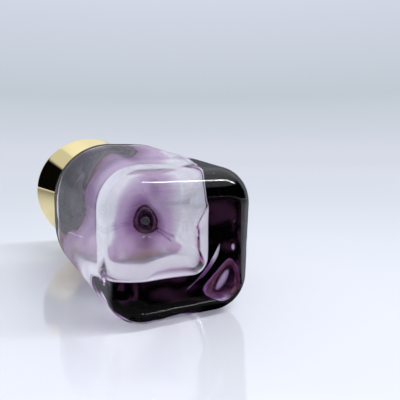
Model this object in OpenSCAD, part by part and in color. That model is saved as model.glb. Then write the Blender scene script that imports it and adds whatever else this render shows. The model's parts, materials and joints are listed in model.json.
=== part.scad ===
// Heavy-based glass perfume bottle with a crimped spray pump and a flared metal cap.
// It is drawn standing on its base, then laid on its flat flared side.

/* [Glass body] */
// Width across the flats at the base
base_w = 34; // [30:0.2:38]
// Width across the flats where the shoulder starts
shoulder_w = 40.8; // [39:0.2:46]
// Height at which the shoulder starts
flare_h = 47.6; // [42:0.2:54]
// Height of the domed shoulder
dome_h = 19.8; // [18:0.2:24]
// Width of the flat land on top of the shoulder
land_d = 17; // [16:0.2:19]
// Radius of the four upright corners at the base
base_corner_r = 7.6; // [5.5:0.1:10]
// Radius of the four upright corners at the shoulder
shoulder_corner_r = 16; // [11:0.1:17]
// Radius of the edge round the bottom
base_edge_r = 4.8; // [2:0.1:5.2]

/* [Cavity] */
// Thickness of the solid glass base in its middle
floor_t = 15; // [12:0.2:20]
// Rise of the cavity's bowl-shaped floor from its middle to its edge
bowl_h = 3; // [1:0.1:5]
// Width of the cavity at its floor
cavity_floor_w = 20.4; // [18:0.2:23]
// Radius of the cavity's corners at its floor
cavity_corner_r = 4; // [3.2:0.1:8]
// Radius of the edge round the cavity's floor
floor_edge_r = 1; // [0.6:0.1:2.4]
// Thickness of the wall at the shoulder
wall_t = 3.4; // [2.4:0.1:4.4]
// Thickness of the wall at the shoulder's rounded corners
corner_wall_t = 1.6; // [1.4:0.1:3.2]
// Thickness of glass over the cavity, below the land
roof_t = 3; // [2:0.1:4.5]

/* [Neck] */
// Diameter of the neck below its bead
neck_d = 13.2; // [12.8:0.1:13.8]
// Diameter of the crimping bead
bead_d = 15; // [14.6:0.1:15.4]
// Height of the crimping bead
bead_h = 3; // [2.4:0.1:3.6]
// Height of the neck above the land
neck_h = 5.6; // [5:0.1:7]
// Diameter of the bore through the neck
bore_d = 10.2; // [9.4:0.1:10.4]

/* [Spray pump] */
// Thickness of the neck gasket
gasket_t = 0.8; // [0.5:0.1:1.2]
// Outer diameter of the pump's housing
pump_d = 8.2; // [7.6:0.1:8.6]
// Inner diameter of the pump's cylinder
cylinder_d = 6.2; // [5.8:0.1:6.6]
// Length of the housing below its flange
pump_len = 16; // [14:0.2:20]
// Thickness of the housing's flange
flange_t = 0.9; // [0.7:0.1:1.3]
// Outer diameter of the tail that holds the dip tube
tail_d = 4.4; // [3.8:0.1:5]
// Length of the dip tube held in the tail
dip_grip = 7; // [3:0.2:9]
// Travel of the pump
stroke = 3.4; // [2.4:0.1:3.8]
// Outer diameter of the stem
stem_d = 3.2; // [2.8:0.1:3.6]
// Diameter of the channel through the stem
stem_bore_d = 1.2; // [0.8:0.1:1.6]
// Length of the piston
piston_len = 4.4; // [3.6:0.1:5]
// Wire of the return spring
spring_wire = 0.5; // [0.3:0.05:0.6]
// Middle diameter of the return spring
spring_d = 4.6; // [3.8:0.1:4.8]
// Turns of the return spring
spring_turns = 7; // [5:1:9]
// Diameter of the inlet ball
ball_d = 2; // [1.6:0.1:2.4]
// Lift of the inlet ball off its seat
ball_lift = 0.6; // [0.3:0.1:1]
// Outer diameter of the dip tube
dip_d = 1.6; // [1.4:0.1:2.2]
// Wall of the dip tube
dip_wall = 0.3; // [0.2:0.05:0.4]
// Gap between the dip tube's end and the cavity's floor
dip_gap = 1.6; // [1:0.1:4]

/* [Spray button] */
// Diameter of the plastic button
button_d = 13; // [12.4:0.1:13.6]
// Height of the button
button_h = 7; // [6.4:0.1:8]
// Thickness of the button's metal shell
shell_t = 0.35; // [0.25:0.05:0.5]
// Diameter of the nozzle insert
nozzle_d = 3.5; // [3:0.1:3.8]
// Depth of the nozzle insert
nozzle_depth = 1.8; // [1.4:0.1:2.2]

/* [Ferrule and collar] */
// Thickness of the crimped ferrule
ferrule_t = 0.4; // [0.3:0.05:0.5]
// Outer diameter of the collar
collar_d = 20; // [19.2:0.1:21.4]
// Height of the collar above the land
collar_h = 10; // [9:0.1:10.4]
// Thickness of the collar's metal shell
collar_t = 0.5; // [0.35:0.05:0.7]

/* [Cap] */
// Diameter of the cap's open end
cap_mouth_d = 27.2; // [26:0.2:30]
// Diameter of the cap's widest rim
cap_rim_d = 40.8; // [37:0.2:44]
// Gap between the land and the cap's open end
cap_gap = 1.4; // [1:0.1:2.4]
// Length of the flared flank
cap_flank_h = 20.8; // [20:0.2:24]
// Radius of the rounded rim
cap_round_r = 2.2; // [1.6:0.1:3.4]
// Rise of the crown's middle above its edge
cap_dome_rise = 2.4; // [2:0.1:3.6]
// Thickness of the cap's metal shell
cap_wall = 1; // [0.8:0.1:1.4]
// Wall of the insert that grips the collar
insert_wall = 1.1; // [0.9:0.1:1.5]
// Thickness of the insert's top and bottom plates
insert_plate_t = 0.8; // [0.6:0.1:1.2]
// Ribs between the insert and the shell
insert_ribs = 8; // [4:1:12]
// Thickness of each rib
rib_t = 1; // [0.8:0.1:1.4]

/* [Clearances] */
// Running clearance round the stem and the piston
running_gap = 0.04; // [0.02:0.01:0.08]
// Gap between pieces that are fitted together
seat_gap = 0.05; // [0.03:0.01:0.1]
// Gap between the collar and the cap's insert
grip_gap = 0.12; // [0.08:0.01:0.3]
// Gap between pieces that move past each other
moving_gap = 0.2; // [0.15:0.05:0.4]

/* [Hidden] */

fine = 96;
corner_steps = 9;
fillet_steps = 5;
bowl_steps = 7;
flare_steps = 5;
dome_steps = 14;
cut = 1;

amethyst = [0.56, 0.42, 0.62, 0.55];
gold = [0.86, 0.68, 0.32];
alloy = [0.8, 0.8, 0.78];
natural = [0.93, 0.94, 0.95];
steel = [0.7, 0.71, 0.73];
dark_rubber = [0.16, 0.16, 0.18];

// Glass
base_half = base_w / 2;
shoulder_half = shoulder_w / 2;
flare_slope = (shoulder_half - base_half) / flare_h;
lean = atan(flare_slope);
land_z = flare_h + dome_h;
land_half = land_d / 2;
mouth_z = land_z + neck_h;
circle_share = 0.97;
function flared_half(z) = base_half + flare_slope * z;
function flared_corner(z) = base_corner_r + (shoulder_corner_r - base_corner_r) * z / flare_h;

// Cavity
cavity_floor_half = cavity_floor_w / 2;
bowl_slope_a = atan(2 * bowl_h / (cavity_floor_half - 0.3 * floor_edge_r));
cavity_edge_z = floor_t + bowl_h - floor_edge_r * (1 - cos(bowl_slope_a));
cavity_wide_half = shoulder_half - wall_t;
shoulder_reach = (shoulder_half - shoulder_corner_r) * sqrt(2) + shoulder_corner_r;
cavity_reach = shoulder_reach - corner_wall_t;
cavity_wide_r = (cavity_wide_half * sqrt(2) - cavity_reach) / (sqrt(2) - 1);
cavity_top_z = land_z - roof_t;
cavity_top_half = bore_d / 2 - 1;

// Pump stack
gasket_top = mouth_z + gasket_t;
flange_top = gasket_top + flange_t;
flange_d = bead_d - 1.4;
ferrule_top = flange_top + ferrule_t;
guide_top = ferrule_top + 1.6;
guide_lip_t = 0.8;
guide_len = 3;
guide_bottom = guide_top - guide_lip_t - guide_len;
seal_t = 0.6;
seal_z = guide_bottom - seat_gap - seal_t;
cylinder_floor = flange_top - pump_len;
cage_lip_t = 0.4;
cage_lip_r = ball_d / 2 - 0.2;
cage_r = ball_d / 2 + 0.25;
channel_r = dip_d / 2 - dip_wall;
seat_slope = 0.75;
ball_rise = sqrt(pow(ball_d / 2, 2) - pow(cage_lip_r, 2));
ball_z = cylinder_floor - cage_lip_t - seat_gap - ball_lift - ball_rise;
seat_apex_z = ball_z - seat_gap - ball_d / 2 * sqrt(1 + 1 / pow(seat_slope, 2));
seat_z = seat_apex_z + channel_r / seat_slope;
dip_socket_top = seat_z - 0.4;
tail_z = dip_socket_top - dip_grip;
dip_bottom = floor_t + dip_gap;
piston_top = seal_z - seat_gap;
piston_bottom = piston_top - piston_len;
piston_d = cylinder_d - 2 * running_gap;
piston_socket = 2.6;
spring_foot = cylinder_floor + seat_gap + spring_wire / 2;
spring_head = piston_bottom - seat_gap - spring_wire / 2;

// Button
button_bottom = ferrule_top + stroke + moving_gap;
button_top = button_bottom + button_h;
button_roof_t = 4.6;
button_wall = 1;
stem_socket = 2.4;
stem_top = button_top - button_roof_t + stem_socket;
nozzle_z = button_top - 2.5;
shell_d = button_d + 2 * (shell_t + seat_gap);

// Ferrule and collar
ferrule_in_d = bead_d + 2 * seat_gap;
ferrule_d = ferrule_in_d + 2 * ferrule_t;
bead_bottom = mouth_z - bead_h;
collar_bottom = land_z + seat_gap;
collar_top = land_z + collar_h;
collar_mouth_d = shell_d + 2 * moving_gap;

// Cap
cap_bottom = land_z + cap_gap;
rim_z = cap_bottom + cap_flank_h;
mouth_r = cap_mouth_d / 2;
round_x = cap_rim_d / 2 - cap_round_r;
flank_run = sqrt(pow(round_x - mouth_r, 2) + pow(cap_flank_h, 2));
flank_lean = 90 - atan2(cap_flank_h, round_x - mouth_r) + asin(cap_round_r / flank_run);
crown_edge_a = 90 - atan(2 * cap_dome_rise / round_x);
insert_bottom = cap_bottom + 0.5;
insert_r = collar_d / 2 + grip_gap;
sleeve_r = insert_r + insert_wall;
function crown_edge(wall) = [
    round_x + (cap_round_r - wall) * cos(crown_edge_a),
    rim_z + (cap_round_r - wall) * sin(crown_edge_a)
];
crown_in = crown_edge(cap_wall);
insert_top = crown_in[1] + cap_dome_rise * (1 - pow(sleeve_r / crown_in[0], 2)) - seat_gap;
function flank_r(z) = mouth_r + (z - cap_bottom) * tan(flank_lean);
function shell_in_r(z) = flank_r(z) - cap_wall / cos(flank_lean);

// Ring of a rounded square: half its width, its corner radius
function square_ring(half, r) = [
    for (quarter = [0:3])
        for (i = [0:corner_steps - 1])
            let (
                a = 90 * quarter + 90 * i / (corner_steps - 1),
                side = half - r,
                cx = (quarter == 0 || quarter == 3) ? side : -side,
                cy = (quarter == 0 || quarter == 1) ? side : -side
            )
            [cx + r * cos(a), cy + r * sin(a)]
];

// Closed skin through rounded-square rings; each row is [height, half width, corner radius]
module loft(rows) {
    n = 4 * corner_steps;
    m = len(rows);
    points = [
        for (row = rows)
            for (p = square_ring(row[1], row[2]))
                [p[0], p[1], row[0]]
    ];
    sides = [
        for (k = [0:m - 2])
            for (i = [0:n - 1])
                [k * n + i, (k + 1) * n + i, (k + 1) * n + (i + 1) % n, k * n + (i + 1) % n]
    ];
    floor_face = [[for (i = [0:n - 1]) i]];
    roof_face = [[for (i = [n - 1:-1:0]) (m - 1) * n + i]];
    polyhedron(points, concat(floor_face, sides, roof_face), convexity = 4);
}

// Rounded edge at the foot of a loft, from its flat or sloping face up to the walls
function foot_rows(z0, half, r, edge, slope = 0) = [
    for (i = [0:fillet_steps])
        let (a = slope + (90 - slope) * i / fillet_steps, inset = edge * (1 - sin(a)))
        [z0 + edge * (1 - cos(a)), half - inset, max(r - inset, 0.4)]
];

// Dome that closes in from a wide ring to a narrow one
function dome_rows(z0, rise, wide, narrow, wide_r) = [
    for (i = [1:dome_steps])
        let (
            a = 90 * i / dome_steps,
            half = narrow + (wide - narrow) * cos(a),
            share = wide_r / wide + (circle_share - wide_r / wide) * sin(a)
        )
        [z0 + rise * sin(a), half, half * share]
];

// Straight taper between two heights, above its first ring
function taper_rows(z0, z1, half0, half1, r0, r1, steps) = [
    for (i = [1:steps])
        let (t = i / steps)
        [z0 + (z1 - z0) * t, half0 + (half1 - half0) * t, r0 + (r1 - r0) * t]
];

// Shallow bowl from a small flat in the middle out to the edge's own round
function bowl_rows(half, r) = [
    for (i = [1:bowl_steps])
        let (k = i / (bowl_steps + 1), share = circle_share - (circle_share - r / half) * k)
        [floor_t + bowl_h * k * k, half * k, half * k * share]
];

module outer_body() {
    z0 = base_edge_r;
    loft(concat(
        foot_rows(0, flared_half(z0), flared_corner(z0), base_edge_r),
        taper_rows(z0, flare_h, flared_half(z0), shoulder_half,
                   flared_corner(z0), shoulder_corner_r, flare_steps),
        dome_rows(flare_h, dome_h, shoulder_half, land_half, shoulder_corner_r)
    ));
}

module cavity() {
    z0 = cavity_edge_z + floor_edge_r;
    inset = floor_edge_r * (1 - sin(bowl_slope_a));
    loft(concat(
        bowl_rows(cavity_floor_half - inset, cavity_corner_r - inset),
        foot_rows(cavity_edge_z, cavity_floor_half, cavity_corner_r, floor_edge_r, bowl_slope_a),
        taper_rows(z0, flare_h, cavity_floor_half, cavity_wide_half,
                   cavity_corner_r, cavity_wide_r, flare_steps),
        dome_rows(flare_h, cavity_top_z - flare_h, cavity_wide_half, cavity_top_half, cavity_wide_r)
    ));
}

// Neck with its rounded crimping bead, as a revolved section
module neck() {
    bead_r = bead_d / 2;
    soft = 0.5;
    rotate_extrude($fn = fine)
        polygon([
            [0, land_z - cut],
            [neck_d / 2 + 0.8, land_z - cut],
            [neck_d / 2 + 0.8, land_z + 0.2],
            [neck_d / 2, land_z + 1],
            [neck_d / 2, bead_bottom],
            [bead_r - soft, bead_bottom],
            [bead_r, bead_bottom + soft],
            [bead_r, mouth_z - soft],
            [bead_r - soft, mouth_z],
            [0, mouth_z]
        ]);
}

module glass_bottle() {
    color(amethyst)
        difference() {
            union() {
                outer_body();
                neck();
            }
            cavity();
            translate([0, 0, cavity_top_z - roof_t])
                cylinder(d = bore_d, h = neck_h + 2 * roof_t + cut, $fn = fine);
        }
}

// Ring between two radii
module ring(r_in, r_out, z0, h) {
    translate([0, 0, z0])
        difference() {
            cylinder(r = r_out, h = h, $fn = fine);
            translate([0, 0, -cut])
                cylinder(r = r_in, h = h + 2 * cut, $fn = fine);
        }
}

module neck_gasket() {
    color(dark_rubber)
        ring(pump_d / 2 + seat_gap, flange_d / 2, mouth_z, gasket_t);
}

// Cup crimped over the pump's flange and under the glass bead
module crimp_ferrule() {
    lip_r = neck_d / 2 + seat_gap;
    r_in = ferrule_in_d / 2;
    r_out = ferrule_d / 2;
    lip_z = bead_bottom - seat_gap;
    hole_r = pump_d / 2 + seat_gap;
    color(alloy)
        rotate_extrude($fn = fine)
            polygon([
                [lip_r, lip_z - ferrule_t],
                [r_out - ferrule_t, lip_z - ferrule_t],
                [r_out, lip_z],
                [r_out, ferrule_top - ferrule_t],
                [r_out - ferrule_t, ferrule_top],
                [hole_r, ferrule_top],
                [hole_r, flange_top],
                [r_in, flange_top],
                [r_in, lip_z],
                [lip_r, lip_z]
            ]);
}

// Thin metal sleeve over the collar's insert, with a foot on the shoulder and an inward lip
module collar() {
    r = collar_d / 2;
    soft = 0.5;
    color(gold)
        rotate_extrude($fn = fine)
            polygon([
                [r - collar_t, collar_bottom],
                [r, collar_bottom],
                [r, collar_top - soft],
                [r - soft * 0.3, collar_top - soft * 0.3],
                [r - soft, collar_top],
                [collar_mouth_d / 2, collar_top],
                [collar_mouth_d / 2, collar_top - collar_t],
                [r - soft - collar_t * 0.4, collar_top - collar_t],
                [r - collar_t, collar_top - soft - collar_t * 0.4]
            ]);
}

// Moulded ring between the ferrule and the collar's metal sleeve
module collar_insert() {
    r_in = ferrule_d / 2 + seat_gap;
    r_out = collar_d / 2 - collar_t - seat_gap;
    top_z = collar_top - collar_t - seat_gap;
    chamfer = 0.6;
    color(natural)
        rotate_extrude($fn = fine)
            polygon([
                [r_in, collar_bottom],
                [r_out, collar_bottom],
                [r_out, top_z - chamfer],
                [r_out - chamfer, top_z],
                [collar_mouth_d / 2, top_z],
                [collar_mouth_d / 2, ferrule_top + seat_gap],
                [r_in, ferrule_top + seat_gap]
            ]);
}

// Stepped tube with a flange: cylinder above, ball cage and dip-tube tail below
module pump_housing() {
    color(natural)
        difference() {
            rotate_extrude($fn = fine)
                polygon([
                    [0, tail_z],
                    [tail_d / 2 - 0.3, tail_z],
                    [tail_d / 2, tail_z + 0.3],
                    [tail_d / 2, cylinder_floor - 1.6],
                    [pump_d / 2 - 0.6, cylinder_floor - 0.6],
                    [pump_d / 2 - 0.6, gasket_top - 5],
                    [pump_d / 2, gasket_top - 4.4],
                    [pump_d / 2, gasket_top],
                    [flange_d / 2, gasket_top],
                    [flange_d / 2, flange_top],
                    [pump_d / 2, flange_top],
                    [pump_d / 2, guide_top - guide_lip_t],
                    [0, guide_top - guide_lip_t]
                ]);
            rotate_extrude($fn = fine)
                polygon([
                    [0, tail_z - cut],
                    [dip_d / 2 + seat_gap, tail_z - cut],
                    [dip_d / 2 + seat_gap, dip_socket_top],
                    [channel_r, dip_socket_top],
                    [channel_r, seat_z],
                    [cage_r, seat_apex_z + cage_r / seat_slope],
                    [cage_r, cylinder_floor - cage_lip_t],
                    [cage_lip_r, cylinder_floor - cage_lip_t],
                    [cage_lip_r, cylinder_floor],
                    [cylinder_d / 2, cylinder_floor],
                    [cylinder_d / 2, guide_top + cut],
                    [0, guide_top + cut]
                ]);
        }
}

// Plug in the top of the cylinder that guides the stem and stops the piston
module stem_guide() {
    plug_r = cylinder_d / 2 - seat_gap;
    hole_r = stem_d / 2 + running_gap;
    lip_z = guide_top - guide_lip_t + seat_gap;
    color(natural)
        rotate_extrude($fn = fine)
            polygon([
                [hole_r, guide_bottom],
                [plug_r, guide_bottom],
                [plug_r, lip_z],
                [pump_d / 2, lip_z],
                [pump_d / 2, guide_top - 0.2],
                [pump_d / 2 - 0.2, guide_top],
                [hole_r, guide_top]
            ]);
}

module stem_seal() {
    color(dark_rubber)
        ring(stem_d / 2 + running_gap, cylinder_d / 2 - seat_gap, seal_z, seal_t);
}

module dip_tube() {
    color(natural)
        ring(dip_d / 2 - dip_wall, dip_d / 2, dip_bottom, dip_socket_top - seat_gap - dip_bottom);
}

// Ball that rests on the cone of its seat, under the cage's lip
module valve_ball() {
    color(steel)
        translate([0, 0, ball_z])
            sphere(d = ball_d, $fn = 48);
}

// Coil of round wire, swept along a helix with closed ends
module pump_spring() {
    sides = 6;
    per_turn = 12;
    count = spring_turns * per_turn;
    coil_r = spring_d / 2;
    wire_r = spring_wire / 2;
    rise = spring_head - spring_foot;
    pitch_angle = atan(rise / spring_turns / (2 * PI * coil_r));
    points = [
        for (k = [0:count])
            let (a = 360 * k / per_turn)
            for (j = [0:sides - 1])
                let (
                    b = 360 * j / sides,
                    out = wire_r * cos(b),
                    up = wire_r * sin(b) * cos(pitch_angle),
                    back = -wire_r * sin(b) * sin(pitch_angle)
                )
                [
                    (coil_r + out) * cos(a) - back * sin(a),
                    (coil_r + out) * sin(a) + back * cos(a),
                    spring_foot + rise * k / count + up
                ]
    ];
    walls = [
        for (k = [0:count - 1])
            for (j = [0:sides - 1])
                let (
                    p = k * sides + j,
                    q = k * sides + (j + 1) % sides
                )
                each [[p, q, q + sides], [p, q + sides, p + sides]]
    ];
    first_end = [[for (j = [sides - 1:-1:0]) j]];
    last_end = [[for (j = [0:sides - 1]) count * sides + j]];
    color(steel)
        polyhedron(points, concat(first_end, walls, last_end), convexity = 12);
}

// Cup-sealed piston that the stem pushes down the cylinder
module pump_piston() {
    waist = 0.5;
    lip_h = 1;
    r = piston_d / 2;
    socket_r = stem_d / 2 + running_gap / 2;
    socket_z = piston_top - piston_socket;
    color(natural)
        rotate_extrude($fn = fine)
            polygon([
                [stem_bore_d / 2, piston_bottom],
                [r, piston_bottom],
                [r, piston_bottom + lip_h],
                [r - waist, piston_bottom + lip_h + waist],
                [r - waist, piston_top - lip_h - waist],
                [r, piston_top - lip_h],
                [r, piston_top],
                [socket_r, piston_top],
                [socket_r, socket_z],
                [stem_bore_d / 2, socket_z]
            ]);
}

module pump_stem() {
    foot_z = piston_top - piston_socket + seat_gap;
    color(natural)
        ring(stem_bore_d / 2, stem_d / 2, foot_z, stem_top - seat_gap - foot_z);
}

// Button: thick roof with the stem socket, the spray channel and the nozzle's seat
module actuator() {
    r = button_d / 2;
    roof_z = button_top - button_roof_t;
    channel_d = 1;
    color(natural)
        difference() {
            rotate_extrude($fn = fine)
                polygon([
                    [0, roof_z],
                    [r - button_wall, roof_z],
                    [r - button_wall, button_bottom],
                    [r, button_bottom],
                    [r, button_top - 0.4],
                    [r - 0.4, button_top],
                    [0, button_top]
                ]);
            translate([0, 0, roof_z - cut])
                cylinder(d = stem_d + running_gap, h = stem_socket + cut, $fn = fine);
            translate([0, 0, nozzle_z])
                rotate([90, 0, 0]) {
                    cylinder(d = channel_d, h = r, $fn = 32);
                    translate([0, 0, r - nozzle_depth])
                        cylinder(d = nozzle_d + 2 * seat_gap, h = nozzle_depth + cut, $fn = 64);
                }
        }
}

// Round insert with a dished face and a spray hole
module nozzle_insert() {
    hole_d = 0.4;
    dish_d = nozzle_d - 1.2;
    dish_depth = 0.5;
    face = button_d / 2 - 0.25;
    depth = nozzle_depth - 0.25 - seat_gap;
    color(natural)
        translate([0, 0, nozzle_z])
            rotate([90, 0, 0])
                difference() {
                    translate([0, 0, face - depth])
                        cylinder(d = nozzle_d, h = depth, $fn = 64);
                    translate([0, 0, face - dish_depth])
                        cylinder(d1 = hole_d * 2, d2 = dish_d, h = dish_depth + 0.001, $fn = 64);
                    translate([0, 0, face - depth - cut])
                        cylinder(d = hole_d, h = depth + 2 * cut, $fn = 24);
                }
}

// Thin metal cover over the button, open for the nozzle
module button_shell() {
    r = shell_d / 2;
    r_in = button_d / 2 + seat_gap;
    top_in = button_top + seat_gap;
    color(gold)
        difference() {
            rotate_extrude($fn = fine)
                polygon([
                    [r_in, button_bottom],
                    [r, button_bottom],
                    [r, top_in - 0.4 + shell_t],
                    [r - 0.4, top_in + shell_t],
                    [0, top_in + shell_t],
                    [0, top_in],
                    [r_in - 0.4, top_in],
                    [r_in, top_in - 0.4]
                ]);
            translate([0, 0, nozzle_z])
                rotate([90, 0, 0])
                    cylinder(d = nozzle_d + 0.3, h = button_d, $fn = 64);
        }
}

// Outline of the cap from the mouth up the flank, round the rim and over the crown
function cap_outline(wall) =
    let (
        r = cap_round_r - wall,
        steps = 10,
        edge = crown_edge(wall)
    )
    concat(
        [[mouth_r - wall / cos(flank_lean), cap_bottom]],
        [for (i = [0:steps])
            let (a = -flank_lean + (crown_edge_a + flank_lean) * i / steps)
            [round_x + r * cos(a), rim_z + r * sin(a)]],
        [for (i = [1:6])
            let (x = edge[0] * (1 - i / 6))
            [x, edge[1] + cap_dome_rise * (1 - pow(x / edge[0], 2))]]
    );

// Thin flared shell, wider at its rim than at its mouth
module cap_shell() {
    color(gold)
        rotate_extrude($fn = fine) {
            outer = cap_outline(0);
            inner = cap_outline(cap_wall);
            polygon(concat(
                outer,
                [for (i = [len(inner) - 1:-1:0]) inner[i]]
            ));
        }
}

// Moulded insert: a sleeve that grips the collar, closed above, and ribs out to the shell
module cap_insert() {
    r_out = sleeve_r;
    lead = 0.4;
    rib_top = rim_z - cap_round_r * sin(flank_lean);
    low_r = shell_in_r(insert_bottom) - seat_gap - 0.03;
    color(natural) {
        rotate_extrude($fn = fine)
            polygon([
                [insert_r + lead, insert_bottom],
                [low_r, insert_bottom],
                [shell_in_r(insert_bottom + insert_plate_t) - seat_gap - 0.03, insert_bottom + insert_plate_t],
                [r_out, insert_bottom + insert_plate_t],
                [r_out, insert_top],
                [0, insert_top],
                [0, insert_top - insert_plate_t],
                [insert_r, insert_top - insert_plate_t],
                [insert_r, insert_bottom + lead]
            ]);
        for (i = [0:insert_ribs - 1])
            rotate([90, 0, 360 * i / insert_ribs])
                linear_extrude(rib_t, center = true)
                    polygon([
                        [r_out - 0.3, insert_bottom + insert_plate_t / 2],
                        [shell_in_r(insert_bottom + insert_plate_t / 2) - seat_gap - 0.05,
                         insert_bottom + insert_plate_t / 2],
                        [shell_in_r(rib_top) - seat_gap - 0.05, rib_top],
                        [r_out - 0.3, rib_top]
                    ]);
    }
}

// Lays the upright bottle on its flared side, with the middle of that side at the origin
module lying() {
    middle_z = (base_edge_r + flare_h) / 2;
    middle_y = flared_half(middle_z);
    translate([0, -middle_y * sin(lean) - middle_z * cos(lean), base_half * cos(lean)])
        rotate([lean - 90, 0, 0])
            children();
}

lying() glass_bottle();
lying() neck_gasket();
lying() crimp_ferrule();
lying() collar();
lying() collar_insert();
lying() pump_housing();
lying() stem_guide();
lying() stem_seal();
lying() dip_tube();
lying() valve_ball();
lying() pump_spring();
lying() pump_piston();
lying() pump_stem();
lying() actuator();
lying() nozzle_insert();
lying() button_shell();
lying() cap_shell();
lying() cap_insert();
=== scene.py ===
import json
import math

import bpy
import numpy as np
from bpy.props import FloatProperty, FloatVectorProperty, IntProperty, PointerProperty
from mathutils import Matrix, Vector


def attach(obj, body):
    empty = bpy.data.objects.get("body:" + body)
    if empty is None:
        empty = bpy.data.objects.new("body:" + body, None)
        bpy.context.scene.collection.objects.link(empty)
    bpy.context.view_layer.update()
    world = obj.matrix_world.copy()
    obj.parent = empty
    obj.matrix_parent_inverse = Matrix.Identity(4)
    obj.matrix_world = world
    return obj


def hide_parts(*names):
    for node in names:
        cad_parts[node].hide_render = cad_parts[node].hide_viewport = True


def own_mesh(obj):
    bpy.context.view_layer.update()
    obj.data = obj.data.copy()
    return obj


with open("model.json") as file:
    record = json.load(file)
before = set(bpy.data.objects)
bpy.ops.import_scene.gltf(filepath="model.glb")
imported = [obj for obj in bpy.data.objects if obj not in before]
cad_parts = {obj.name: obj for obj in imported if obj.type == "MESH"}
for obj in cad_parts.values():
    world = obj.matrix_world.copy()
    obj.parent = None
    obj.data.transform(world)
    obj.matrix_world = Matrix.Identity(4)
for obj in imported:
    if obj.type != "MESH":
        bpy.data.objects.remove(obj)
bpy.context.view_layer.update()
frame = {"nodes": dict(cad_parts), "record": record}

bl_info = {
    "name": "Glass perfume bottle",
    "version": (1, 0, 0),
    "blender": (4, 5, 0),
    "location": "View3D > Sidebar > Bottle",
    "description": "Builds a heavy-based glass spray bottle with its pump and flared cap",
    "category": "Object",
}

MM = 0.001
TAU = 2 * math.pi
GLASS_IOR = 1.5

# The bottle's own frame: its base's middle, its axis, and the two directions across it
base_mount = next(m for m in frame["record"]["mounts"] if m["name"] == "base_face")
AXIS_FOOT = np.array(base_mount["pos_m"])
AXIS_UP = -np.array(base_mount["axis"], float)
AXIS_UP /= np.linalg.norm(AXIS_UP)
AXIS_X = np.array([1.0, 0.0, 0.0])
AXIS_Y = np.cross(AXIS_UP, AXIS_X)


# ---------------------------------------------------------------- surfaces

def place(points):
    """Upright points, in metres with z up the bottle's axis, turned into the lying frame: foot + x X + y Y + z U."""
    return AXIS_FOOT + points[..., 0:1] * AXIS_X + points[..., 1:2] * AXIS_Y + points[..., 2:3] * AXIS_UP


def volume(verts, faces):
    """Six times the signed volume inside: the sum over fans of each face's corners of p0 . (p1 x p2)."""
    total = 0.0
    for k in range(1, faces.shape[1] - 1):
        p0, p1, p2 = verts[faces[:, 0]], verts[faces[:, k]], verts[faces[:, k + 1]]
        total += np.einsum("ij,ij->i", p0, np.cross(p1, p2)).sum()
    return total


def make_piece(name, verts, quads, tris, material, sharp):
    """Puts one closed surface into a mesh object, with its faces turned outwards."""
    sign = 1 if volume(verts, quads) + volume(verts, tris) >= 0 else -1
    faces = [f[::sign].tolist() for f in quads] + [f[::sign].tolist() for f in tris]
    mesh = bpy.data.meshes.new(name)
    mesh.from_pydata(verts.tolist(), [], faces)
    mesh.polygons.foreach_set("use_smooth", np.ones(len(mesh.polygons), bool))
    mesh.update()
    mesh.set_sharp_from_angle(angle=math.radians(sharp))
    mesh.materials.append(material)
    piece = bpy.data.objects.new(name, mesh)
    bpy.context.scene.collection.objects.link(piece)
    return piece


def skin(name, rows, material, poles=None, ring=False, sharp=40.0):
    """Surface through rings of points, rows[i, j]: j goes round and closes, i goes along, and closes too when ring
    is set. poles are the two single points that close the ends."""
    m, n = rows.shape[:2]
    verts = rows.reshape(-1, 3)
    i = np.arange(m if ring else m - 1)[:, None]
    j = np.arange(n)[None, :]
    k = (j + 1) % n
    up = (i + 1) % m
    quads = np.stack([i * n + j, i * n + k, up * n + k, up * n + j], -1).reshape(-1, 4)
    tris = np.zeros((0, 3), int)
    if poles is not None:
        verts = np.vstack([verts, poles[0][None], poles[1][None]])
        a, b = len(verts) - 2, len(verts) - 1
        j = np.arange(n)
        k = (j + 1) % n
        tris = np.vstack([
            np.stack([np.full(n, a), k, j], -1),
            np.stack([np.full(n, b), (m - 1) * n + j, (m - 1) * n + k], -1),
        ])
    return make_piece(name, verts, quads, tris, material, sharp)


def soften(points, radius, steps=5, closed=True):
    """Rounds the corners of an outline: each corner becomes a quadratic Bezier between points on its two edges,
    radius away or less than half of the shorter edge."""
    p = np.asarray(points, float)
    back = np.roll(p, 1, 0) - p
    on = np.roll(p, -1, 0) - p
    lb = np.linalg.norm(back, axis=1)
    lo = np.linalg.norm(on, axis=1)
    t = np.minimum(np.broadcast_to(radius, lb.shape), 0.45 * np.minimum(lb, lo))
    if not closed:
        t[[0, -1]] = 0
    a = p + back / np.maximum(lb, 1e-12)[:, None] * t[:, None]
    c = p + on / np.maximum(lo, 1e-12)[:, None] * t[:, None]
    s = np.linspace(0, 1, steps)[None, :, None]
    curve = (1 - s) ** 2 * a[:, None] + 2 * s * (1 - s) * p[:, None] + s * s * c[:, None]
    curve = curve.reshape(-1, 2)
    if not closed:
        curve = np.vstack([p[:1], curve[steps:-steps], p[-1:]])
    keep = np.ones(len(curve), bool)
    keep[1:] = np.linalg.norm(np.diff(curve, axis=0), axis=1) > 1e-7
    return curve[keep]


def lathe(name, outline, material, segments=128, open_ends=False, sharp=35.0):
    """Surface of revolution: (r, z) becomes (r cos a, r sin a, z) for a once round the axis.
    With open_ends the outline starts and ends on the axis, and its ends are single points."""
    outline = np.asarray(outline, float)
    poles = None
    if open_ends:
        poles = [place(np.array([0, 0, z])) for z in (outline[0, 1], outline[-1, 1])]
        outline = outline[1:-1]
    a = TAU * np.arange(segments) / segments
    r, z = outline[:, 0:1], outline[:, 1:2]
    rows = np.stack([r * np.cos(a), r * np.sin(a), z + 0 * a], -1)
    return skin(name, place(rows), material, poles, ring=not open_ends, sharp=sharp)


# ---------------------------------------------------------------- sizes

def length(name, text, mm):
    return FloatProperty(name=name, description=text, default=mm * MM, min=0, max=0.2, precision=5,
                         subtype="DISTANCE", unit="LENGTH")


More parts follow.
